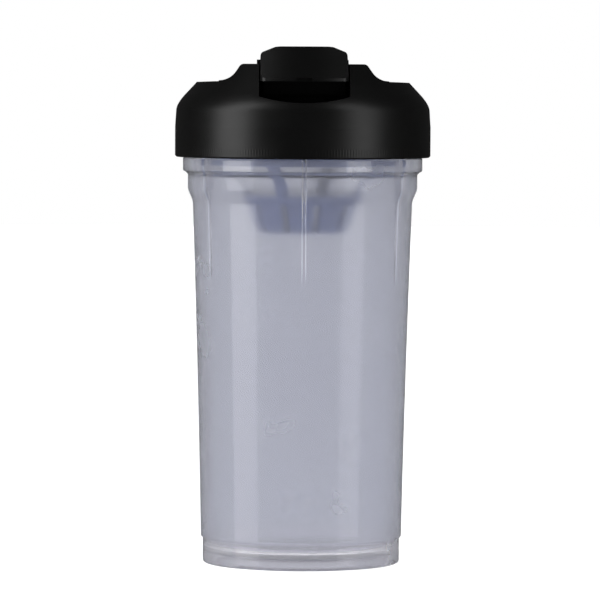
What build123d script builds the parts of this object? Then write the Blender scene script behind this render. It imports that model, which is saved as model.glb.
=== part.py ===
from build123d import *
from math import atan2, cos, degrees, radians, tan
import os

# A protein shaker: a clear tapered cup, a screw lid with a raised bridge across it,
# a flip cap that closes the spout, and a mixing basket that hangs under the lid.
# Millimetres, +Z up, origin at the bottom centre, the spout and the cap's lip on -Y.

# ---- cup ----------------------------------------------------------------------------
foot_radius = 39.3
foot_corner = 1.2
foot_top_z = 10.0
foot_ring_width = 3.4
base_z = 4.2
floor_z = 6.0
floor_corner = 4.0
body_low_radius, body_low_z = 40.1, 11.4
body_mid_radius, body_mid_z = 41.65, 77.0
body_top_radius, body_top_z = 43.75, 143.4
shoulder_radius = 45.8
shoulder_bend = 32.0
collar_radius = 47.8
collar_low_z = 156.4
collar_top_z = 161.9
collar_corner = 0.9
neck_radius = 46.0
neck_bore = 44.3
rim_z = 179.4
rim_chamfer = 0.5
cup_wall = 1.3

rib_count = 6
rib_tip_radius = 41.4
rib_foot_width = 1.9
rib_top_z = 162.0

# ---- screw thread, two starts -------------------------------------------------------
thread_lead = 12.0
thread_starts = 2
thread_turns = 0.7
thread_root = 2.4
thread_crest = 1.2
thread_low_z = 166.6
neck_thread_radius = 47.3
lid_thread_radius = 46.6
thread_bite = 0.5

# ---- screw lid ----------------------------------------------------------------------
lid_radius = 51.0
lid_bottom_z = 162.2
lid_shoulder_radius, lid_shoulder_z = 50.6, 180.6
lid_edge = 0.6
lid_wall = 2.4
cone_angle = 47.0
cone_radius, cone_z = 44.45, 189.8
cone_low_z = 187.4
deck_edge_z = 192.0
deck_rise = 0.9
deck_wall = 2.3
plug_radius = 43.9
plug_bore = 41.45
plug_low_z = 163.3
gland_z = 181.4
crown_z = 183.4

# raised bridge across the lid and the channel for the cap along it
bridge_top_z = 199.3
bridge_foot = 33.6
bridge_hollow = 8.2
bridge_slope = 56.0
bridge_crest = 2.2
bridge_back_y = 26.0
channel_half = 17.85
channel_floor_z = 189.6
channel_back_y = 23.0
channel_wall = 2.0
pocket_centre_z = 184.0
pocket_side_z = 186.5
pocket_back_y = -33.2

# drinking spout
spout_y = -22.8
spout_radius = 9.2
spout_bore = 7.5
spout_top_z = 197.0

# ---- flip cap -----------------------------------------------------------------------
cap_half = 17.4
cap_shoulder_half = 17.0
cap_skirt_half = 16.0
cap_corner = 3.2
cap_top_z = 206.2
cap_top_half = 10.5
cap_edge_half, cap_edge_z = 15.9, 204.2
cap_lip_radius, cap_lip_z = 43.2, 192.6
cap_lip = 1.2
cap_slope = 52.0
cap_wall = 1.8
cap_skirt_z = 190.1
tab_z = 187.3
tab_front_y = -35.3
tab_wall = 1.6
notch_half = 3.2
notch_rise = 1.3
hinge_y, hinge_z = 12.0, 195.6
barrel_radius = 5.4
barrel_half = 18.4
barrel_seat_half = 18.85
barrel_seat_gap = 0.5
cap_back_y = 2.0
boss_radius = 8.4
boss_z = 198.75

# ---- small parts --------------------------------------------------------------------
pin_radius = 1.25
pin_half = 22.4
running_fit = 0.07
gap = 0.35
stem_radius = 2.2
stem_top_z = 201.6
plug_stub_radius = 7.1
plug_stub_z = 193.6
flange_radius = 9.0

# ---- mixing basket ------------------------------------------------------------------
basket_low_z = 132.0
basket_low_radius = 18.6
basket_corner = 3.2
basket_waist_radius, basket_waist_z = 22.6, 146.0
basket_wall = 1.3
flare_radius, flare_z = 39.6, 160.4
ring_radius = 41.1
ring_inner = 39.3
ring_low_z, ring_top_z = 159.0, 168.0
bead_height = 2.2
bead_rise = 0.7
arm_count = 4
arm_angle = -111.0
arm_width = 5.0
window_low_z, window_top_z = 147.6, 158.9
slot_count = 10
slot_angle = -75.0
slot_width = 2.4
slot_top_z = 143.6
floor_hole_radius = 1.5
basket_floor_ring = 6.0

os.makedirs("parts", exist_ok=True)
far = 60.0


def write(builder, label):
    """Label a finished piece and write it under the same name."""
    builder.part.label = label
    export_step(builder.part, f"parts/{label}.step")
    print(label, builder.part.is_valid, round(builder.part.volume))


def spun(radius, low_z, top_z, inner=0.0):
    """A plain ring or disc about the Z axis."""
    with BuildPart() as disc:
        with BuildSketch(Plane.XY.offset(low_z)):
            Circle(radius)
            if inner:
                Circle(inner, mode=Mode.SUBTRACT)
        extrude(amount=top_z - low_z)
    return disc.part


# ---- cup ----------------------------------------------------------------------------
def body_side(inset, top_radius):
    """The cup's side: a long shallow arc, then the S of the shoulder, ending upright."""
    side = ThreePointArc(
        (body_low_radius - inset, body_low_z),
        (body_mid_radius - inset, body_mid_z),
        (body_top_radius - inset, body_top_z),
    )
    lean = radians(90) - atan2((side % 1).Y, (side % 1).X)
    bend = radians(shoulder_bend)
    radius = (top_radius - (side @ 1).X) / (cos(lean) + 1 - 2 * cos(bend))
    outward = JernArc(side @ 1, side % 1, radius, degrees(lean) - shoulder_bend)
    upright = JernArc(outward @ 1, outward % 1, radius, shoulder_bend)
    return upright @ 1


def cup_cavity(inset):
    """The space inside the cup, or a core a little smaller or larger than it."""
    radius = body_low_radius - cup_wall - inset
    with BuildPart() as cavity:
        with BuildSketch(Plane.XZ):
            with BuildLine():
                Polyline((0, floor_z + inset), (radius - floor_corner, floor_z + inset))
                JernArc((radius - floor_corner, floor_z + inset), (1, 0), floor_corner, 90)
                Line(
                    (radius, floor_z + inset + floor_corner),
                    (radius, body_low_z),
                )
                top = body_side(cup_wall + inset, neck_bore - inset)
                Polyline(
                    top,
                    (neck_bore - inset, rim_z - rim_chamfer),
                    (neck_bore - inset + 2 * rim_chamfer, rim_z + rim_chamfer),
                    (0, rim_z + rim_chamfer),
                    (0, floor_z + inset),
                )
            make_face()
        revolve(axis=Axis.Z)
    return cavity.part


def thread_ridge(root_at, crest_at, low_z):
    """One start of the thread: a trapezoid swept up a helix, wide side on the wall."""
    with BuildPart() as ridge:
        with BuildLine() as path:
            Helix(thread_lead, thread_lead * thread_turns, root_at, center=(0, 0, low_z))
        with BuildSketch(Plane.XZ):
            with BuildLine():
                Polyline(
                    (root_at, low_z - thread_root / 2),
                    (crest_at, low_z - thread_crest / 2),
                    (crest_at, low_z + thread_crest / 2),
                    (root_at, low_z + thread_root / 2),
                    close=True,
                )
            make_face()
        sweep(path=path.wires()[0], is_frenet=True)
    return ridge.part


# six ribs stand inside the wall: their tips lie on one cylinder, so they fade out
# where the tapering wall meets it
with BuildPart() as ribs:
    with BuildSketch(Plane.XY.offset(body_mid_z)):
        with PolarLocations(0, rib_count, start_angle=-90):
            with Locations((rib_tip_radius, 0)):
                Trapezoid(
                    rib_foot_width,
                    shoulder_radius - rib_tip_radius,
                    80,
                    rotation=90,
                    align=(Align.CENTER, Align.MAX),
                )
    extrude(amount=rib_top_z - body_mid_z)
    add(cup_cavity(-cup_wall / 2), mode=Mode.INTERSECT)

with BuildPart() as cup:
    with BuildSketch(Plane.XZ):
        with BuildLine():
            Polyline(
                (0, base_z),
                (foot_radius - foot_ring_width - 1.6, base_z),
                (foot_radius - foot_ring_width, 0),
                (foot_radius - foot_corner, 0),
            )
            JernArc((foot_radius - foot_corner, 0), (1, 0), foot_corner, 90)
            Polyline(
                (foot_radius, foot_corner),
                (foot_radius, foot_top_z),
                (body_low_radius, body_low_z),
            )
            shoulder = body_side(0, shoulder_radius)
            Polyline(
                shoulder,
                (shoulder_radius, collar_low_z),
                (collar_radius - collar_corner, collar_low_z),
            )
            JernArc((collar_radius - collar_corner, collar_low_z), (1, 0), collar_corner, 90)
            Polyline(
                (collar_radius, collar_low_z + collar_corner),
                (collar_radius, collar_top_z - rim_chamfer),
                (collar_radius - rim_chamfer, collar_top_z),
                (neck_radius, collar_top_z),
                (neck_radius, rim_z - rim_chamfer),
                (neck_radius - rim_chamfer, rim_z),
                (0, rim_z),
                (0, base_z),
            )
        make_face()
    revolve(axis=Axis.Z)
    add(cup_cavity(0), mode=Mode.SUBTRACT)
    add(ribs.part)
    for start in range(thread_starts):
        ridge = thread_ridge(neck_radius - thread_bite, neck_thread_radius, thread_low_z)
        add(ridge, rotation=(0, 0, start * 360 / thread_starts))
write(cup, "cup")


# ---- screw lid ----------------------------------------------------------------------
def cone_at(z, radius=cone_radius, from_z=cone_z, slope=cone_angle):
    """Radius of a cone at a height."""
    return radius - (z - from_z) / tan(radians(slope))


def bridge_prism(inset):
    """The bridge cut to its front view and its side view, still running past the front.

    From the front it is flat on top and flows down to the deck on both sides: a large
    hollow arc, a short slope and a small rounded crest.
    """
    low_z = deck_edge_z - 6
    top_z = bridge_top_z - inset
    foot_z = deck_edge_z + deck_rise - 0.3 - inset
    heel = bridge_back_y - inset
    slope = radians(bridge_slope)
    hollow = bridge_hollow + inset
    crest = max(bridge_crest - inset, 0.4)
    crest_z = top_z - crest * (1 - cos(slope))
    with BuildPart() as prism:
        with BuildSketch(Plane.XZ.offset(-far)):
            with BuildLine():
                Polyline((0, low_z), (bridge_foot, low_z), (bridge_foot, foot_z))
                flank = JernArc((bridge_foot, foot_z), (-1, 0), hollow, -bridge_slope)
                run = (crest_z - (flank @ 1).Y) / tan(slope)
                incline = Line(flank @ 1, ((flank @ 1).X - run, crest_z))
                crown = JernArc(incline @ 1, flank % 1, crest, bridge_slope)
                Line(crown @ 1, (0, top_z))
                mirror(about=Plane.YZ)
            make_face()
        extrude(amount=2 * far)
        with BuildSketch(Plane.YZ.offset(-far)):
            with BuildLine():
                Polyline((-far, low_z), (heel + 5, low_z), (heel + 5, deck_edge_z + 0.4 - inset))
                Spline(
                    (heel + 5, deck_edge_z + 0.4 - inset),
                    (heel - 3, deck_edge_z + 3.8 - inset),
                    (heel - 11, top_z),
                    tangents=((-1, 0), (-1, 0)),
                )
                Polyline((heel - 11, top_z), (-far, top_z), (-far, low_z))
            make_face()
        extrude(amount=2 * far, mode=Mode.INTERSECT)
    return prism.part


with BuildPart() as above_deck:
    with BuildSketch(Plane.XZ):
        with BuildLine():
            ThreePointArc(
                (cone_at(deck_edge_z), deck_edge_z),
                (cone_at(deck_edge_z) / 2, deck_edge_z + deck_rise * 0.75),
                (0, deck_edge_z + deck_rise),
            )
            Polyline(
                (0, deck_edge_z + deck_rise),
                (0, bridge_top_z + 1),
                (far, bridge_top_z + 1),
                (far, deck_edge_z),
                (cone_at(deck_edge_z), deck_edge_z),
            )
        make_face()
    revolve(axis=Axis.Z)
    add(bridge_prism(0), mode=Mode.SUBTRACT)

with BuildPart() as lid_envelope:
    with BuildSketch(Plane.XZ):
        with BuildLine():
            Polyline(
                (0, lid_bottom_z),
                (lid_radius - lid_edge, lid_bottom_z),
                (lid_radius, lid_bottom_z + lid_edge),
                (lid_radius, lid_bottom_z + 12),
                (lid_shoulder_radius, lid_shoulder_z),
            )
            knee_z = cone_z - (lid_shoulder_radius - cone_radius) * tan(radians(cone_angle))
            Bezier(
                (lid_shoulder_radius, lid_shoulder_z),
                (lid_shoulder_radius, knee_z),
                (cone_at(cone_low_z), cone_low_z),
            )
            Polyline(
                (cone_at(cone_low_z), cone_low_z),
                (cone_at(bridge_top_z), bridge_top_z),
                (0, bridge_top_z),
                (0, lid_bottom_z),
            )
        make_face()
    revolve(axis=Axis.Z)
    add(above_deck.part, mode=Mode.SUBTRACT)

with BuildPart() as bridge_hollow_core:
    with BuildSketch(Plane.XZ):
        inner_low_z = deck_edge_z - 4
        Polygon(
            (0, inner_low_z),
            (cone_at(inner_low_z) - deck_wall * 1.5, inner_low_z),
            (cone_at(bridge_top_z) - deck_wall * 1.5, bridge_top_z),
            (0, bridge_top_z),
            align=None,
        )
    revolve(axis=Axis.Z)
    add(bridge_prism(deck_wall), mode=Mode.INTERSECT)

with BuildPart() as lid_hollow:
    with BuildSketch(Plane.XZ):
        deck_under = deck_edge_z - deck_wall
        Polygon(
            (0, lid_bottom_z),
            (plug_bore, lid_bottom_z),
            (plug_bore, crown_z),
            (cone_at(crown_z + 2.0) - lid_wall * 1.5, crown_z + 2.0),
            (cone_at(deck_under) - lid_wall * 1.5, deck_under),
            (0, deck_under + deck_rise),
            align=None,
        )
        Polygon(
            (plug_radius, lid_bottom_z),
            (lid_radius - lid_wall, lid_bottom_z),
            (lid_radius - lid_wall, gland_z - 2.0),
            (lid_radius - lid_wall - 2.0, gland_z),
            (plug_radius, gland_z),
            align=None,
        )
    revolve(axis=Axis.Z)
    add(bridge_hollow_core.part)

with BuildPart() as channel:
    with BuildSketch(Plane.YZ.offset(-channel_half)):
        Polygon(
            (pocket_back_y, channel_floor_z),
            (channel_back_y, channel_floor_z),
            (channel_back_y, deck_edge_z + deck_rise),
            (far, deck_edge_z + deck_rise),
            (far, bridge_top_z + far),
            (-far, bridge_top_z + far),
            (-far, channel_floor_z),
            align=None,
        )
    extrude(amount=2 * channel_half)
    with BuildSketch(Plane.XZ.offset(-pocket_back_y)):
        with BuildLine():
            ThreePointArc(
                (-channel_half, pocket_side_z), (0, pocket_centre_z), (channel_half, pocket_side_z)
            )
            Polyline(
                (channel_half, pocket_side_z),
                (channel_half, bridge_top_z),
                (-channel_half, bridge_top_z),
                (-channel_half, pocket_side_z),
            )
        make_face()
    extrude(amount=far + pocket_back_y)
    with BuildSketch(Plane.YZ.offset(-barrel_seat_half)):
        with Locations((hinge_y, hinge_z)):
            Circle(barrel_radius + barrel_seat_gap)
    extrude(amount=2 * barrel_seat_half)

with BuildPart() as tub:
    with BuildSketch(Plane.YZ.offset(-channel_half - channel_wall)):
        Polygon(
            (-far, crown_z - 1.6),
            (pocket_back_y + channel_wall, crown_z - 1.6),
            (pocket_back_y + channel_wall, channel_floor_z - channel_wall),
            (channel_back_y + channel_wall, channel_floor_z - channel_wall),
            (channel_back_y + channel_wall, bridge_top_z),
            (-far, bridge_top_z),
            align=None,
        )
    extrude(amount=2 * (channel_half + channel_wall))
    for side in (-1, 1):
        with BuildSketch(Plane.YZ.offset(side * channel_half)):
            with Locations((hinge_y, hinge_z)):
                Rectangle(4 * pin_radius, 5 * pin_radius)
        extrude(amount=side * (pin_half + 1.0 - channel_half))
    add(lid_envelope.part, mode=Mode.INTERSECT)

with BuildPart() as screw_lid:
    add(lid_envelope.part)
    add(lid_hollow.part, mode=Mode.SUBTRACT)
    add(spun(plug_radius, plug_low_z, gland_z + 1.0, plug_bore))
    add(tub.part)
    add(channel.part, mode=Mode.SUBTRACT)
    with BuildSketch(Plane.XY.offset(channel_floor_z - channel_wall)):
        with Locations((0, spout_y)):
            Circle(spout_radius)
    extrude(amount=spout_top_z - channel_floor_z + channel_wall)
    with BuildSketch(Plane.XY.offset(channel_floor_z - 2 * channel_wall)):
        with Locations((0, spout_y)):
            Circle(spout_bore)
    extrude(amount=far / 2, mode=Mode.SUBTRACT)
    with BuildSketch(Plane.YZ.offset(-pin_half)):
        with Locations((hinge_y, hinge_z)):
            Circle(pin_radius)
    extrude(amount=2 * pin_half, mode=Mode.SUBTRACT)
    for start in range(thread_starts):
        ridge = thread_ridge(
            lid_radius - lid_wall + thread_bite,
            lid_thread_radius,
            thread_low_z - thread_lead / thread_starts / 2,
        )
        add(ridge, rotation=(0, 0, start * 360 / thread_starts))
write(screw_lid, "screw_lid")

# ---- sealing ring in the gland over the rim of the cup --------------------------------
with BuildPart() as lid_gasket:
    add(spun(neck_radius + 0.4, rim_z + gap, gland_z - gap, plug_radius + gap))
write(lid_gasket, "lid_gasket")

# ---- hinge pin ------------------------------------------------------------------------
with BuildPart() as hinge_pin:
    with BuildSketch(Plane.YZ.offset(-pin_half)):
        with Locations((hinge_y, hinge_z)):
            Circle(pin_radius)
    extrude(amount=2 * pin_half)
    chamfer(hinge_pin.edges().filter_by(GeomType.CIRCLE), 0.3)
write(hinge_pin, "hinge_pin")


# ---- flip cap -------------------------------------------------------------------------
def cap_shape(inset):
    """The cap's outside: a sloping cone front with rounded corners and a crowned top."""
    top = cap_top_z - inset
    lip_radius = cap_lip_radius - inset * 1.3
    slope_from_z = cap_lip_z + cap_lip
    with BuildPart() as body:
        with BuildSketch(Plane.XZ):
            Polygon(
                (0, cap_lip_z),
                (lip_radius, cap_lip_z),
                (lip_radius, slope_from_z),
                (cone_at(top, lip_radius, slope_from_z, cap_slope), top),
                (0, top),
                align=None,
            )
        revolve(axis=Axis.Z)
        with BuildSketch(Plane.XZ.offset(-far / 2)):
            with BuildLine():
                Polyline(
                    (0, cap_lip_z),
                    (cap_half - inset, cap_lip_z),
                    (cap_shoulder_half - inset, cap_edge_z - 2.0),
                )
                Bezier(
                    (cap_shoulder_half - inset, cap_edge_z - 2.0),
                    (cap_shoulder_half - inset, cap_edge_z - 0.5 - inset),
                    (cap_edge_half - inset, cap_edge_z - inset),
                )
                slope_top = (cap_top_half + 1.0 - inset, top - 0.25)
                Line((cap_edge_half - inset, cap_edge_z - inset), slope_top)
                Bezier(slope_top, (cap_top_half - inset, top), (cap_top_half - 2.0 - inset, top))
                Polyline((cap_top_half - 2.0 - inset, top), (0, top), (0, cap_lip_z))
            make_face()
            mirror(about=Plane.YZ)
        extrude(amount=far * 1.5, mode=Mode.INTERSECT)
        with BuildSketch(Plane.XY.offset(cap_lip_z)) as plan:
            Circle(cap_lip_radius)
            Rectangle(2 * cap_half, 3 * far, mode=Mode.INTERSECT)
            fillet(plan.vertices().group_by(Axis.Y)[0], cap_corner)
        extrude(amount=far, mode=Mode.INTERSECT)
    return body.part


with BuildPart() as cap_side:
    with BuildSketch(Plane.YZ.offset(-cap_half)):
        with BuildLine():
            Polyline(
                (-far, tab_z),
                (hinge_y, tab_z),
                (hinge_y, hinge_z - barrel_radius),
            )
            JernArc((hinge_y, hinge_z - barrel_radius), (1, 0), barrel_radius, 90)
            Bezier(
                (hinge_y + barrel_radius, hinge_z),
                (hinge_y + barrel_radius / 2, cap_top_z - 2.4),
                (cap_back_y, cap_top_z),
            )
            Polyline((cap_back_y, cap_top_z), (-far, cap_top_z), (-far, tab_z))
        make_face()
    extrude(amount=2 * cap_half)

with BuildPart() as cap_hollow:
    add(cap_shape(cap_wall))
    with BuildSketch(Plane.XY.offset(tab_z - 1)):
        with Locations((0, tab_front_y)):
            Rectangle(
                2 * (cap_skirt_half - tab_wall),
                hinge_y - barrel_radius - 1.2 - tab_front_y,
                align=(Align.CENTER, Align.MIN),
            )
    extrude(amount=cap_lip_z + 0.5 - tab_z + 1)
    split(bisect_by=Plane.XZ.offset(barrel_radius + 1.2 - hinge_y), keep=Keep.TOP)

with BuildPart() as flip_cap:
    add(cap_shape(0))
    with BuildSketch(Plane.XY.offset(tab_z)):
        with Locations((0, tab_front_y)):
            Rectangle(
                2 * cap_skirt_half, hinge_y - tab_front_y, align=(Align.CENTER, Align.MIN)
            )
    extrude(amount=cap_lip_z + 1 - tab_z)
    add(cap_side.part, mode=Mode.INTERSECT)
    with Locations((0, 0, cap_skirt_z)):
        Box(
            4 * cap_half,
            3 * far,
            far,
            align=(Align.CENTER, Align.CENTER, Align.MIN),
            mode=Mode.INTERSECT,
        )
    with BuildSketch(Plane.XZ.offset(-tab_front_y - tab_wall)):
        with Locations((0, tab_z)):
            Rectangle(
                2 * cap_skirt_half, cap_lip_z + 1 - tab_z, align=(Align.CENTER, Align.MIN)
            )
    extrude(amount=tab_wall)
    add(cap_hollow.part, mode=Mode.SUBTRACT)
    with BuildSketch(Plane.XZ.offset(-tab_front_y - tab_wall)):
        with Locations((0, tab_z)):
            Rectangle(
                2 * cap_skirt_half, cap_edge_z - 4.5 - tab_z, align=(Align.CENTER, Align.MIN)
            )
    extrude(amount=tab_wall)
    for side in (-1, 1):
        with BuildSketch(Plane.YZ.offset(side * cap_skirt_half)):
            with Locations((hinge_y, hinge_z)):
                Circle(barrel_radius)
        extrude(amount=side * (barrel_half - cap_skirt_half))
    with BuildSketch(Plane.XY.offset(boss_z)):
        with Locations((0, spout_y)):
            Circle(boss_radius)
            Circle(stem_radius, mode=Mode.SUBTRACT)
    extrude(amount=cap_top_z - cap_wall / 2 - boss_z)
    with BuildSketch(Plane.YZ.offset(-far)):
        with Locations((hinge_y, hinge_z)):
            Circle(pin_radius + running_fit)
    extrude(amount=2 * far, mode=Mode.SUBTRACT)
    with BuildSketch(Plane.XZ.offset(cap_lip_radius - cap_wall)):
        with Locations((0, cap_lip_z)):
            Rectangle(2 * notch_half, 2 * notch_rise)
    extrude(amount=far, mode=Mode.SUBTRACT)
write(flip_cap, "flip_cap")

# ---- soft stopper under the cap, its stem pressed into the boss -------------------------
with BuildPart() as spout_plug:
    with BuildSketch(Plane.XZ):
        Polygon(
            (0, stem_top_z),
            (stem_radius - 0.4, stem_top_z),
            (stem_radius, stem_top_z - 0.4),
            (stem_radius, boss_z),
            (flange_radius, boss_z),
            (flange_radius, spout_top_z + gap),
            (plug_stub_radius, spout_top_z + gap),
            (plug_stub_radius, plug_stub_z + 1.0),
            (plug_stub_radius - 0.5, plug_stub_z),
            (plug_stub_radius - 2.0, plug_stub_z),
            (plug_stub_radius - 2.0, spout_top_z - 0.6),
            (0, spout_top_z - 0.6),
            align=None,
        )
    revolve(axis=Axis.Z)
spout_plug.part.move(Location((0, spout_y, 0)))
write(spout_plug, "spout_plug")


# ---- mixing basket ----------------------------------------------------------------------
def basket_line(inset):
    """Half section of the basket wall: flat floor, round corner, steep bowl, wide flare."""
    start = (basket_low_radius - basket_corner - inset * 0.7, basket_low_z + inset)
    side = (basket_waist_radius - basket_low_radius, basket_waist_z - basket_low_z - basket_corner)
    climb = degrees(atan2(side[1], side[0]))
    corner = JernArc(start, (1, 0), max(basket_corner - inset, 0.6), climb)
    waist = (basket_waist_radius - inset, basket_waist_z)
    bowl = Line(corner @ 1, waist)
    flare = TangentArc(waist, (flare_radius, flare_z + inset), tangent=bowl % 1)
    return start, flare @ 1


with BuildPart() as windows:
    with BuildSketch(Plane.XY.offset(window_low_z)):
        Circle(ring_inner - 1.0)
        Circle(basket_low_radius, mode=Mode.SUBTRACT)
        with PolarLocations(0, arm_count, start_angle=arm_angle):
            Rectangle(far, arm_width, align=(Align.MIN, Align.CENTER), mode=Mode.SUBTRACT)
    extrude(amount=window_top_z - window_low_z)

with BuildPart() as slots:
    with BuildSketch(Plane.XY.offset(basket_low_z - 1)):
        with PolarLocations(basket_low_radius, slot_count, start_angle=slot_angle):
            SlotCenterToCenter(11, slot_width)
    extrude(amount=slot_top_z - basket_low_z + 1)

def basket_solid(inset, ceiling):
    """Everything inside one line of the basket's section, up to a flat ceiling."""
    with BuildPart() as solid:
        with BuildSketch(Plane.XZ):
            with BuildLine():
                start, end = basket_line(inset)
                Polyline(end, (flare_radius, ceiling), (0, ceiling), (0, basket_low_z + inset), start)
            make_face()
        revolve(axis=Axis.Z)
    return solid.part


with BuildPart() as mixing_basket:
    add(basket_solid(0, flare_z + 2))
    bead_z = basket_waist_z - bead_height / 2
    add(spun(basket_waist_radius + bead_rise, bead_z, bead_z + bead_height))
    add(basket_solid(basket_wall, flare_z + 4), mode=Mode.SUBTRACT)
    add(spun(ring_radius, ring_low_z, ring_top_z, ring_inner))
    add(windows.part, mode=Mode.SUBTRACT)
    add(slots.part, mode=Mode.SUBTRACT)
    with BuildSketch(Plane.XY.offset(basket_low_z - 1)):
        Circle(floor_hole_radius)
        with PolarLocations(basket_floor_ring, slot_count // 2, start_angle=slot_angle):
            Circle(floor_hole_radius)
    extrude(amount=basket_wall + 2, mode=Mode.SUBTRACT)
write(mixing_basket, "mixing_basket")
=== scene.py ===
# %% [markdown]
# # A protein shaker, from CAD frame to finished surface
# The shaker is seven pieces: a clear cup, a screw lid, a flip cap, a mixing basket, a
# sealing ring, a soft stopper and a steel pin. The lid, the cap and the small parts keep
# their CAD shapes and get real finishes here. The cup is worked out again as one smooth
# turned surface, because light bends through it and every facet of a mesh would show.
#
# Each step below is a note and then a short cell that prints what it made.

# %% Load the frame
import math

import bmesh
import bpy
import numpy as np
from mathutils import Matrix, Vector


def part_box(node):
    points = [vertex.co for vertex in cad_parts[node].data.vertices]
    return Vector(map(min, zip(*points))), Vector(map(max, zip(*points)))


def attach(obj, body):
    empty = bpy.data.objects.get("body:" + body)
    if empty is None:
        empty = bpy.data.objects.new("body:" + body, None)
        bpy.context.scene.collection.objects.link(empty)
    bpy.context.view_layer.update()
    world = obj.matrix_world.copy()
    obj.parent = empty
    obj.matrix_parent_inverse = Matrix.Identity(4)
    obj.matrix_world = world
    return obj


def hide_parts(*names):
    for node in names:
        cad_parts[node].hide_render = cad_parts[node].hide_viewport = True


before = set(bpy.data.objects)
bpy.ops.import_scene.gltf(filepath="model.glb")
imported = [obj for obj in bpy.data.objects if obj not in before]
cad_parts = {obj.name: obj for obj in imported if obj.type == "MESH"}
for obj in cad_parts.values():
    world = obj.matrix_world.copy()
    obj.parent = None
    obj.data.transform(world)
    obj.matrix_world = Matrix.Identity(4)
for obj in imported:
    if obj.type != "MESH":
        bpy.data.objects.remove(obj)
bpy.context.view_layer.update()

mm = 0.001

# %% [markdown]
# ## The view
# The shaker is seen from far away with a long lens, so it shows almost no perspective.
# The lens stands level with the top of the lid and looks a little down at the middle of
# the cup. The object is turned a little less than one degree, so the camera walks
# round it by that much instead.

# %% Camera
view_distance = 1.95
view_height = 0.2
view_turn = math.radians(-0.85)
view_roll = math.radians(0.28)
picture_width = 0.24
aim = np.array([-0.8 * mm, 0.0, 105 * mm])

eye = np.array([
    view_distance * math.sin(view_turn),
    -view_distance * math.cos(view_turn),
    view_height,
])
camera_data = bpy.data.cameras.new("view")
camera = bpy.data.objects.new("view", camera_data)
bpy.context.collection.objects.link(camera)
camera_data.sensor_width = 36
camera_data.lens = camera_data.sensor_width * np.linalg.norm(eye - aim) / picture_width
camera_data.clip_start = 0.05
camera_data.clip_end = 20
look = aim - eye
tilt = math.atan2(math.hypot(look[0], look[1]), -look[2])
heading = math.atan2(-look[0], look[1])
camera.matrix_world = (
    Matrix.Translation(eye)
    @ Matrix.Rotation(heading, 4, "Z")
    @ Matrix.Rotation(tilt, 4, "X")
    @ Matrix.Rotation(view_roll, 4, "Z")
)
bpy.context.scene.camera = camera
print("lens", round(camera_data.lens, 1), "mm")

# %% [markdown]
# ## A small language for shader sums
# Node trees are easier to read as sums. `Wire` holds one socket. Adding, multiplying or
# comparing wires adds Math nodes, and `node` adds any other node: its settings are set
# first, then each of its sockets gets a value or a link.

# %% Wire: one socket that knows sums
class Wire:
    def __init__(self, tree, socket=None):
        self.tree = tree
        self.socket = socket

    def node(self, kind, settings=None, sockets=None, output=0):
        """Add a node, apply its settings, fill its sockets, and return one output."""
        made = self.tree.nodes.new(kind)
        for key, value in (settings or {}).items():
            setattr(made, key, value)
        for key, value in (sockets or {}).items():
            target = made.inputs[key]
            if isinstance(value, Wire):
                self.tree.links.new(value.socket, target)
            else:
                target.default_value = value
        return Wire(self.tree, made.outputs[output])

    def sum(self, operation, first, second=0.0):
        """One Math node on two values or wires."""
        return self.node("ShaderNodeMath", {"operation": operation}, {0: first, 1: second})

    def part(self, name):
        """Another output of the node that this wire comes from."""
        return Wire(self.tree, self.socket.node.outputs[name])

    def __add__(self, other):
        return self.sum("ADD", self, other)

    def __sub__(self, other):
        return self.sum("SUBTRACT", self, other)

    def __mul__(self, other):
        return self.sum("MULTIPLY", self, other)

    def __rsub__(self, other):
        return self.sum("SUBTRACT", other, self)

    __radd__ = __add__
    __rmul__ = __mul__

    def between(self, low, high):
        """0 at low, 1 at high, smooth between, with no more than 0 to 1."""
        return self.node(
            "ShaderNodeMapRange",
            {"interpolation_type": "SMOOTHSTEP"},
            {"Value": self, "From Min": low, "From Max": high},
        )

    def mix(self, first, second):
        """A colour that goes from first to second as this wire goes from 0 to 1."""
        return self.node(
            "ShaderNodeMix",
            {"data_type": "RGBA"},
            {"Factor": self, 6: first, 7: second},
            output=2,
        )


def new_material(name):
    """An empty material, its first wire, and the output node to finish it with."""
    material = bpy.data.materials.new(name)
    material.use_nodes = True
    material.node_tree.nodes.clear()
    start = Wire(material.node_tree)
    place = start.node("ShaderNodeTexCoord", output="Object")
    return material, start, place


def finish_surface(start, shader):
    """Join a shader to the material's output."""
    output = start.tree.nodes.new("ShaderNodeOutputMaterial")
    start.tree.links.new(shader.socket, output.inputs["Surface"])


def grey(value):
    """A colour with three equal parts."""
    return (value, value, value, 1.0)


print("Wire ready")


# %% [markdown]
# ## Stage and light
# A moulded black lid shows its shape only through what it mirrors, so the light is the
# usual one for glossy goods: one tall soft box on each side of the camera, white paper all
# round, and a nearly dark room above, which keeps the deck of the lid dark. The paper and
# the floor glow evenly, but are hidden from mirrored rays, so the lid doesn't see them.
# The paper stands farther out than any camera that looks at the shaker, so that the back
# and the opened lid can be seen too.

# %% Floor and curved background
def glow_material(name, strength, diffuse):
    """Matt paper or board that gives an even light of its own."""
    material, start, place = new_material(name)
    grain = start.node("ShaderNodeTexNoise", None, {"Vector": place, "Scale": 3.0, "Detail": 2.0})
    colour = grain.mix(grey(diffuse), grey(diffuse * 1.02))
    shader = start.node(
        "ShaderNodeBsdfPrincipled",
        None,
        {
            "Base Color": colour,
            "Roughness": 0.9,
            "Specular IOR Level": 0.0,
            "Emission Color": grey(1.0),
            "Emission Strength": strength,
        },
    )
    finish_surface(start, shader)
    return material


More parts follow.
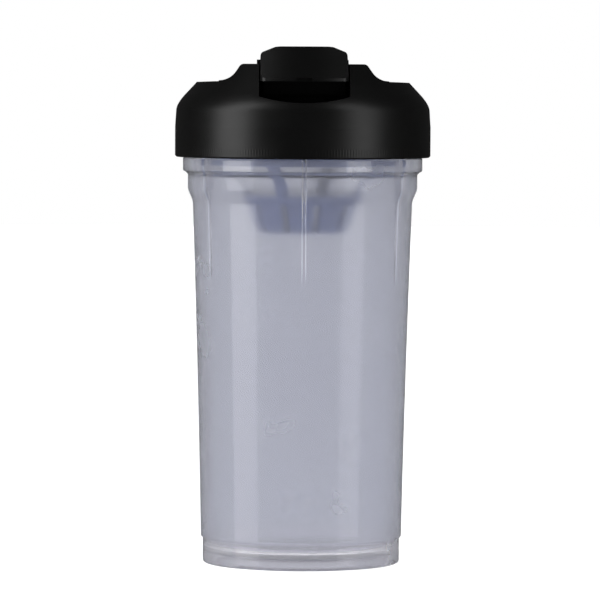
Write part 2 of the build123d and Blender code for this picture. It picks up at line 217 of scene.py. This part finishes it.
def grid_mesh(name, points, wrap_columns=False):
    """A mesh of quads over a grid of points, with the columns closed into a loop or not."""
    rows, columns = points.shape[:2]
    mesh = bpy.data.meshes.new(name)
    mesh.vertices.add(rows * columns)
    mesh.vertices.foreach_set("co", points.reshape(-1).astype(np.float32))
    row = np.arange(rows - 1)[:, None]
    column = np.arange(columns if wrap_columns else columns - 1)[None, :]
    next_row = row + 1
    next_column = (column + 1) % columns
    corners = np.stack(
        [
            row * columns + column,
            row * columns + next_column,
            next_row * columns + next_column,
            next_row * columns + column,
        ],
        axis=-1,
    ).reshape(-1)
    faces = corners.size // 4
    mesh.loops.add(corners.size)
    mesh.loops.foreach_set("vertex_index", corners.astype(np.int32))
    mesh.polygons.add(faces)
    mesh.polygons.foreach_set("loop_start", np.arange(0, corners.size, 4, dtype=np.int32))
    mesh.polygons.foreach_set("use_smooth", np.ones(faces, dtype=bool))
    mesh.update(calc_edges=True)
    mesh.validate()
    thing = bpy.data.objects.new(name, mesh)
    bpy.context.collection.objects.link(thing)
    return thing


stage_radius = 4.0
floor_gap = 0.02 * mm
turn = np.linspace(0, 2 * np.pi, 97)[:-1]
floor_rings = np.array([0.0005, 0.2, 0.6, stage_radius])
floor = grid_mesh(
    "floor",
    np.stack(
        [
            floor_rings[:, None] * np.cos(turn),
            floor_rings[:, None] * np.sin(turn),
            np.zeros((floor_rings.size, turn.size)) - floor_gap,
        ],
        axis=-1,
    ),
    wrap_columns=True,
)
floor.data.materials.append(glow_material("pale_floor", 0.9, 0.5))
floor.visible_glossy = False

def screen(name, first, last):
    """A white paper wall on the edge of the floor, from one angle to another in degrees."""
    turn = np.linspace(math.radians(first), math.radians(last), 65)
    height = stage_radius * np.array([-0.17, 0.0, 0.75, 1.33])
    shape = np.broadcast(turn[None, :], height[:, None]).shape
    wall = grid_mesh(
        name,
        np.stack(
            [
                np.broadcast_to(stage_radius * np.cos(turn), shape),
                np.broadcast_to(stage_radius * np.sin(turn), shape),
                np.broadcast_to(height[:, None], shape),
            ],
            axis=-1,
        ),
    )
    wall.data.materials.append(glow_material(name + "_paper", 1.0, 0.0))
    wall.visible_glossy = False
    return wall


screen("background", 6, 174)
surround = screen("surround", 174, 366)
surround.visible_diffuse = False
print("floor and paper out to", stage_radius, "m")

# %% Soft boxes and the dark room
def soft_box(name, azimuth, width, height, power, distance=1.1, middle=0.8):
    """A tall area light that faces the axis, with its azimuth counted from the camera."""
    data = bpy.data.lights.new(name, "AREA")
    data.shape = "RECTANGLE"
    data.size = width
    data.size_y = height
    data.energy = power
    thing = bpy.data.objects.new(name, data)
    bpy.context.collection.objects.link(thing)
    thing.visible_camera = False
    side = math.radians(azimuth)
    place = np.array([distance * math.sin(side), -distance * math.cos(side), middle])
    thing.matrix_world = (
        Matrix.Translation(place)
        @ Matrix.Rotation(side, 4, "Z")
        @ Matrix.Rotation(math.radians(90), 4, "X")
    )
    return thing


soft_box("left_box", -66, 0.62, 2.0, 17)
soft_box("right_box", 54, 0.5, 2.0, 9)
world = bpy.data.worlds.new("dark_room")
bpy.context.scene.world = world
world.use_nodes = True
world.node_tree.nodes["Background"].inputs["Color"].default_value = grey(0.04)
bpy.context.scene.view_settings.view_transform = "Standard"
print("soft boxes left and right")

# %% [markdown]
# ## Black moulded plastic
# The lid and the cap are satin polypropylene. The mould was lightly spark-eroded, so the
# skin is a fine even grain, which makes highlights broad, and handling polishes it in
# soft patches. The grain is a Bump of a fine noise, and roughness follows a slow noise.
# The lid's lower edge also has fine upright ribbing, a sine of the angle. The recess under
# the cap's lip gets hardly any light; painted shade, a near-black without shine, is mixed in.

# %% Satin black for the lid and the cap
recess_half, recess_floor, recess_rise = 17.85 * mm, 184.0 * mm, 2.5 * mm
recess_top = 192.3 * mm
ribbing_low, ribbing_high = 165.6 * mm, 166.6 * mm
ribbing_pace, ribbing_depth = 270.0, 1.5
soft_edge = 0.1 * mm


def black_plastic(name, roughness, ribbed):
    """Satin black, with the lid's ribbing or without it, and painted shade in the recess."""
    material, start, place = new_material(name)
    fine = start.node(
        "ShaderNodeTexNoise", None, {"Vector": place, "Scale": 2600.0, "Detail": 2.0}
    )
    slow = start.node("ShaderNodeTexNoise", None, {"Vector": place, "Scale": 60.0, "Detail": 4.0})
    where = start.node("ShaderNodeSeparateXYZ", None, {"Vector": place})
    height = fine
    if ribbed:
        angle = start.sum("ARCTAN2", where.part("Y"), where.part("X"))
        wave = start.sum("SINE", angle * ribbing_pace)
        band = 1.0 - where.part("Z").between(ribbing_low, ribbing_high)
        height = fine + wave * band * ribbing_depth
    bump = start.node(
        "ShaderNodeBump", None, {"Strength": 0.35, "Distance": 0.03 * mm, "Height": height}
    )
    shader = start.node(
        "ShaderNodeBsdfPrincipled",
        None,
        {
            "Base Color": slow.mix(grey(0.0015), grey(0.003)),
            "Roughness": slow * 0.08 + roughness,
            "IOR": 1.49,
            "Specular IOR Level": 0.28,
            "Normal": bump,
        },
    )
    # Painted shade: a near-black with almost no reflection, mixed in where the recess lies in
    # shadow.
    recess_shade_black = start.node(
        "ShaderNodeBsdfPrincipled",
        None,
        {
            "Base Color": slow.mix(grey(0.002), grey(0.003)),
            "Roughness": slow * 0.1 + 0.8,
            "Specular IOR Level": 0.02,
            "Normal": bump,
        },
    )
    finish_surface(
        start,
        start.node("ShaderNodeMixShader", None, {0: recess_shade_mask(where), 1: shader, 2: recess_shade_black}),
    )
    return material


def recess_shade_mask(where):
    """1 in the recess under the cap's lip, where the shade is painted, 0 elsewhere.

    Its floor is a shallow bow: height = recess_floor + recess_rise x (x / recess_half)^2.
    """
    side = where.sum("ABSOLUTE", where.part("X"))
    narrow = 1.0 - side.between(recess_half - 2 * soft_edge, recess_half)
    low = 1.0 - where.part("Z").between(recess_top - soft_edge, recess_top + soft_edge)
    over = where.part("Z") - side * side * (recess_rise / recess_half**2)
    return narrow * low * over.between(recess_floor, recess_floor + soft_edge)


def clothe(node, material):
    """Give a CAD node one material in place of its own."""
    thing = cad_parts[node]
    thing.data.materials.clear()
    thing.data.materials.append(material)


clothe("screw_lid", black_plastic("satin_black_lid", 0.33, True))
clothe("flip_cap", black_plastic("satin_black_cap", 0.31, False))
print("lid and cap in satin black")

# %% [markdown]
# ## The cup as one turned surface
# A shaker cup is blown or injected as one thin wall. Here it is one closed skin: a
# profile of points (radius, height) that goes up the outside, over the rim and down the
# inside, turned about the axis. Two things change the radius as it turns: six ribs on
# the inside and a two-start thread outside the neck. Both are simple functions of the
# angle and the height, so they are added to the whole array at once.

# %% Heights and radii of the cup, in metres
cup_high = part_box("cup")[1]
rim_z = cup_high[2]
collar_radius = cup_high[0]
foot_radius, foot_top_z, foot_corner = 39.3 * mm, 10.0 * mm, 1.2 * mm
body_z = np.array([11.4, 77.0, 143.4]) * mm
body_radius = np.array([40.1, 41.65, 43.75]) * mm
shoulder_radius, shoulder_z = 45.8 * mm, 150.4 * mm
collar_low_z, collar_top_z = 156.4 * mm, 161.9 * mm
neck_radius, neck_bore = 46.0 * mm, 44.3 * mm
wall, small_corner = 1.3 * mm, 0.5 * mm
base_z, floor_z, floor_corner = 4.2 * mm, 6.0 * mm, 4.0 * mm
rib_tip_radius, rib_top_z = 41.4 * mm, 162.0 * mm
rib_foot, rib_tip, rib_count = 1.9 * mm, 0.4 * mm, 6
sector = 2 * np.pi / rib_count
thread_lead, thread_low, thread_turns = 12 * mm, 166.6 * mm, 0.7
thread_rise, thread_crest, thread_slope = 1.3 * mm, 1.2 * mm, 0.6 * mm
print("rim at", round(rim_z / mm, 2), "mm, collar radius", round(collar_radius / mm, 2), "mm")


# %% Profile pieces: a straight run and a quarter of a circle
def run(start, end, count):
    """Points evenly spaced from start up to, but without, end."""
    share = np.linspace(0, 1, count, endpoint=False)[:, None]
    return (1 - share) * np.array(start) + share * np.array(end)


def corner(centre, radius, start, stop, count=7):
    """Points on a circle: centre + radius x (cos a, sin a), a from start to stop degrees."""
    angle = np.radians(np.linspace(start, stop, count, endpoint=False))
    return np.array(centre) + radius * np.stack([np.cos(angle), np.sin(angle)], axis=-1)


def side(inset, shoulder, count):
    """Side of the cup: a parabola through three radii, then the S of the shoulder.

    The S is a half wave: radius + rise x (1 - cos(pi t)) / 2 for t from 0 to 1.
    """
    height = np.linspace(body_z[0], body_z[2], count)
    shallow = np.polyval(np.polyfit(body_z, body_radius - inset, 2), height)
    share = np.linspace(0, 1, 15)[1:]
    rise = (1 - np.cos(np.pi * share)) / 2
    radius = shallow[-1] + (shoulder - shallow[-1]) * rise
    over = body_z[2] + share * (shoulder_z - body_z[2])
    return np.concatenate([np.stack([shallow, height], 1), np.stack([radius, over], 1)])


outside = np.concatenate([
    run((0, base_z), (foot_radius - 5.0 * mm, base_z), 5),
    run((foot_radius - 5.0 * mm, base_z), (foot_radius - 3.4 * mm, 0.3 * mm), 4),
    run((foot_radius - 3.4 * mm, 0.3 * mm), (foot_radius - 3.1 * mm, 0), 2),
    run((foot_radius - 3.1 * mm, 0), (foot_radius - foot_corner, 0), 2),
    corner((foot_radius - foot_corner, foot_corner), foot_corner, -90, 0),
    run((foot_radius, foot_corner), (foot_radius, foot_top_z), 5),
    corner((foot_radius + 0.4 * mm, foot_top_z), 0.4 * mm, 180, 90, 4),
    corner((body_radius[0] - 0.4 * mm, foot_top_z + 0.8 * mm), 0.4 * mm, -90, 0, 4),
    side(0, shoulder_radius, 40),
    run((shoulder_radius, shoulder_z + 0.4 * mm), (shoulder_radius, collar_low_z), 5),
    corner((collar_radius - 0.9 * mm, collar_low_z + 0.9 * mm), 0.9 * mm, -90, 0, 8),
    run((collar_radius, collar_low_z + 0.9 * mm), (collar_radius, collar_top_z - small_corner), 4),
    corner((collar_radius - small_corner, collar_top_z - small_corner), small_corner, 0, 90, 4),
    run((neck_radius, collar_top_z), (neck_radius, rim_z - small_corner), 44),
    corner((neck_radius - small_corner, rim_z - small_corner), small_corner, 0, 90, 4),
])
inside = np.concatenate([
    corner((neck_bore + small_corner, rim_z - small_corner), small_corner, 90, 180, 4),
    run((neck_bore, rim_z - small_corner), (neck_bore, rib_top_z + 0.2 * mm), 6),
    run((neck_bore, rib_top_z + 0.15 * mm), (neck_bore, shoulder_z + 0.4 * mm), 8),
    side(wall, neck_bore, 60)[::-1],
    run((body_radius[0] - wall, body_z[0] - 0.3 * mm),
        (body_radius[0] - wall, floor_z + floor_corner), 3),
    corner((body_radius[0] - wall - floor_corner, floor_z + floor_corner), floor_corner, 0, -90, 10),
    run((body_radius[0] - wall - floor_corner, floor_z), (0, floor_z), 6),
    np.array([[0, floor_z]]),
])
profile = np.concatenate([outside, inside])
is_inside = np.arange(len(profile)) >= len(outside)
print("profile points", len(profile))


# %% Angles, closer together at the ribs
def rib_angles(across_rib=14, between=44, reach=1.3 * mm):
    """Angles round the cup: fine steps over each rib, wider ones between two ribs.

    Each rib is centred on a multiple of the sector's angle, counted from the front.
    """
    half = reach / neck_bore
    fine = np.linspace(-half, half, across_rib, endpoint=False)
    wide = np.linspace(half, sector - half, between, endpoint=False)
    one = np.concatenate([fine, wide])
    return (-np.pi / 2 + one[None, :] + sector * np.arange(rib_count)[:, None]).reshape(-1)


def arc_to_rib(angle, radius):
    """Length of the arc, in metres, from a point to the middle of the nearest rib."""
    return np.abs((angle + np.pi / 2 + sector / 2) % sector - sector / 2) * radius


def rib_share(angle, radius):
    """1 on the flat of a rib, 0 off it, sloping between, from the arc to its middle."""
    arc = arc_to_rib(angle, radius)
    return np.clip((rib_foot / 2 - arc) / (rib_foot / 2 - rib_tip / 2), 0, 1)


def thread_height(angle, height, run_out=0.006):
    """Ridge of the two-start thread over the neck, in metres.

    A start climbs thread_lead x (turns round the axis). With d the distance of a point
    above or below the middle of the ridge, the ridge stands
    thread_rise x clip((thread_crest - d) / thread_slope, 0, 1) high: a flat crest with
    sloping sides. Both ends run out over run_out turns.
    """
    total = np.zeros(np.broadcast(angle, height).shape)
    for start in (0.0, 0.5):
        along = (angle / (2 * np.pi) - start) % 1.0
        off = np.abs(height - (thread_low + thread_lead * along))
        ridge = np.clip((thread_crest - off) / thread_slope, 0, 1)
        ends = np.clip(np.minimum(along, thread_turns - along) / run_out, 0, 1)
        total = np.maximum(total, thread_rise * ridge * ends)
    return total


# %% Turn the profile
angle = rib_angles()
radius = np.broadcast_to(profile[:, :1], (len(profile), angle.size)).copy()
height = np.broadcast_to(profile[:, 1:], radius.shape).copy()
ribbed = is_inside[:, None] & (height < rib_top_z) & (height > body_z[1])
ribbed = ribbed & (radius > rib_tip_radius)
radius -= np.where(ribbed, rib_share(angle, radius) * (radius - rib_tip_radius), 0)
on_neck = ~is_inside[:, None] & (height > collar_top_z) & (height < rim_z - small_corner)
radius += np.where(on_neck, thread_height(angle, height), 0)
cup = grid_mesh(
    "clear_cup",
    np.stack([radius * np.cos(angle), radius * np.sin(angle), height], axis=-1),
    wrap_columns=True,
)


# %% Close the two poles and check the skin
def close_poles(thing, reach=0.01 * mm):
    """Merge the points that share one place, as all do at a pole."""
    work = bmesh.new()
    work.from_mesh(thing.data)
    bmesh.ops.remove_doubles(work, verts=work.verts, dist=reach)
    bmesh.ops.recalc_face_normals(work, faces=work.faces)
    open_edges = sum(1 for edge in work.edges if len(edge.link_faces) != 2)
    volume = work.calc_volume(signed=True)
    work.to_mesh(thing.data)
    work.free()
    print(thing.name, "faces", len(thing.data.polygons), "open edges", open_edges,
          "volume", round(volume * 1e6, 2), "ml")


# %% Two painted highlights over each rib
# Each rib's two flanks bend the soft boxes' light into a bright line. That light is painted
# into the colour as a pale line along each side: a painted highlight.
# A line fades in from line_low up and stops at the top of the rib.
line_off, line_half, line_low, line_fade = 0.7 * mm, 0.35 * mm, 110 * mm, 12 * mm
line = np.clip(1 - np.abs(arc_to_rib(angle, radius) - line_off) / line_half, 0, 1)
line = line * np.clip((height - line_low) / line_fade, 0, 1) * (height < rib_top_z)
cup.data.attributes.new("rib_painted_highlight", "FLOAT", "POINT")
cup.data.attributes["rib_painted_highlight"].data.foreach_set("value", line.reshape(-1).astype(np.float32))
print("pale lines on", int((line > 0).sum()), "points")

close_poles(cup)
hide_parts("cup")
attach(cup, "cup")

# %% [markdown]
# ## Milky clear plastic
# Clarified polypropylene is see-through with a little milk in it. The outside is the
# polished face of the mould, so it mirrors sharply: that is a clear coat. Light that
# goes through is scattered a little, which is transmission with some roughness. The foot
# is thick and looks paler, and the lines over the ribs are painted highlights, paler still.

# %% Clear plastic for the cup
material, start, place = new_material("milky_clear_plastic")
flow = start.node("ShaderNodeTexNoise", None, {"Vector": place, "Scale": 35.0, "Detail": 3.0})
skin = start.node("ShaderNodeTexNoise", None, {"Vector": place, "Scale": 900.0, "Detail": 2.0})
bump = start.node(
    "ShaderNodeBump", None, {"Strength": 0.04, "Distance": 0.02 * mm, "Height": skin}
)
up = start.node("ShaderNodeSeparateXYZ", None, {"Vector": place}, output="Z")
polished = up.between(collar_low_z - 1 * mm, collar_low_z)
rib_highlight = start.node("ShaderNodeAttribute", {"attribute_name": "rib_painted_highlight"}, output="Fac")
above_foot = up.between(9 * mm, 12 * mm)
thin_wall = flow.mix((0.595, 0.605, 0.665, 1), (0.625, 0.635, 0.69, 1))
milk = above_foot.mix((0.71, 0.71, 0.76, 1), thin_wall)
shader = start.node(
    "ShaderNodeBsdfPrincipled",
    None,
    {
        # Painted highlight: pale lines over the sides of each rib stand in for light that the ribs
        # bend.
        "Base Color": rib_highlight.mix(milk, (0.95, 0.95, 0.98, 1)),
        "Roughness": flow * 0.05 + 0.24,
        "IOR": 1.3,
        "Transmission Weight": 0.9,
        "Coat Weight": polished * 0.45 + 0.15,
        "Coat Roughness": 0.04,
        "Normal": bump,
    },
)
finish_surface(start, shader)
cup.data.materials.append(material)
print("cup in", material.name)

# %% [markdown]
# ## The small parts
# The basket is moulded in a denser blue-grey plastic, the two seals are matt silicone,
# which picks up dust and dulls, and the pin is ground steel with fine lines round it.

# %% Basket, seals and pin
def basket_plastic():
    """Slate-blue moulded plastic with a fine grain."""
    material, start, place = new_material("slate_plastic")
    slow = start.node("ShaderNodeTexNoise", None, {"Vector": place, "Scale": 90.0, "Detail": 4.0})
    fine = start.node(
        "ShaderNodeTexNoise", None, {"Vector": place, "Scale": 1800.0, "Detail": 2.0}
    )
    bump = start.node(
        "ShaderNodeBump", None, {"Strength": 0.3, "Distance": 0.03 * mm, "Height": fine}
    )
    shader = start.node(
        "ShaderNodeBsdfPrincipled",
        None,
        {
            "Base Color": slow.mix((0.18, 0.23, 0.42, 1), (0.22, 0.27, 0.48, 1)),
            "Roughness": slow * 0.12 + 0.38,
            "IOR": 1.49,
            "Normal": bump,
        },
    )
    finish_surface(start, shader)
    return material


def silicone(name, tint):
    """Matt silicone: dust makes it paler and duller in specks."""
    material, start, place = new_material(name)
    dust = start.node("ShaderNodeTexNoise", None, {"Vector": place, "Scale": 220.0, "Detail": 6.0})
    bump = start.node(
        "ShaderNodeBump", None, {"Strength": 0.25, "Distance": 0.05 * mm, "Height": dust}
    )
    shader = start.node(
        "ShaderNodeBsdfPrincipled",
        None,
        {
            "Base Color": dust.mix(grey(tint * 0.9), grey(tint)),
            "Roughness": dust * 0.15 + 0.55,
            "IOR": 1.42,
            "Normal": bump,
        },
    )
    finish_surface(start, shader)
    return material


def ground_steel():
    """Steel ground with fine lines round the pin, which lies along X."""
    material, start, place = new_material("ground_steel")
    stretched = start.node(
        "ShaderNodeMapping", None, {"Vector": place, "Scale": (6000.0, 40.0, 40.0)}
    )
    lines = start.node(
        "ShaderNodeTexNoise", None, {"Vector": stretched, "Scale": 1.0, "Detail": 3.0}
    )
    bump = start.node(
        "ShaderNodeBump", None, {"Strength": 0.2, "Distance": 0.01 * mm, "Height": lines}
    )
    shader = start.node(
        "ShaderNodeBsdfPrincipled",
        None,
        {
            "Base Color": lines.mix(grey(0.52), grey(0.62)),
            "Metallic": 1.0,
            "Roughness": lines * 0.15 + 0.22,
            "Normal": bump,
        },
    )
    finish_surface(start, shader)
    return material


clothe("mixing_basket", basket_plastic())
clothe("lid_gasket", silicone("ring_silicone", 0.62))
clothe("spout_plug", silicone("stopper_silicone", 0.30))
clothe("hinge_pin", ground_steel())
print("basket, seals and pin finished")
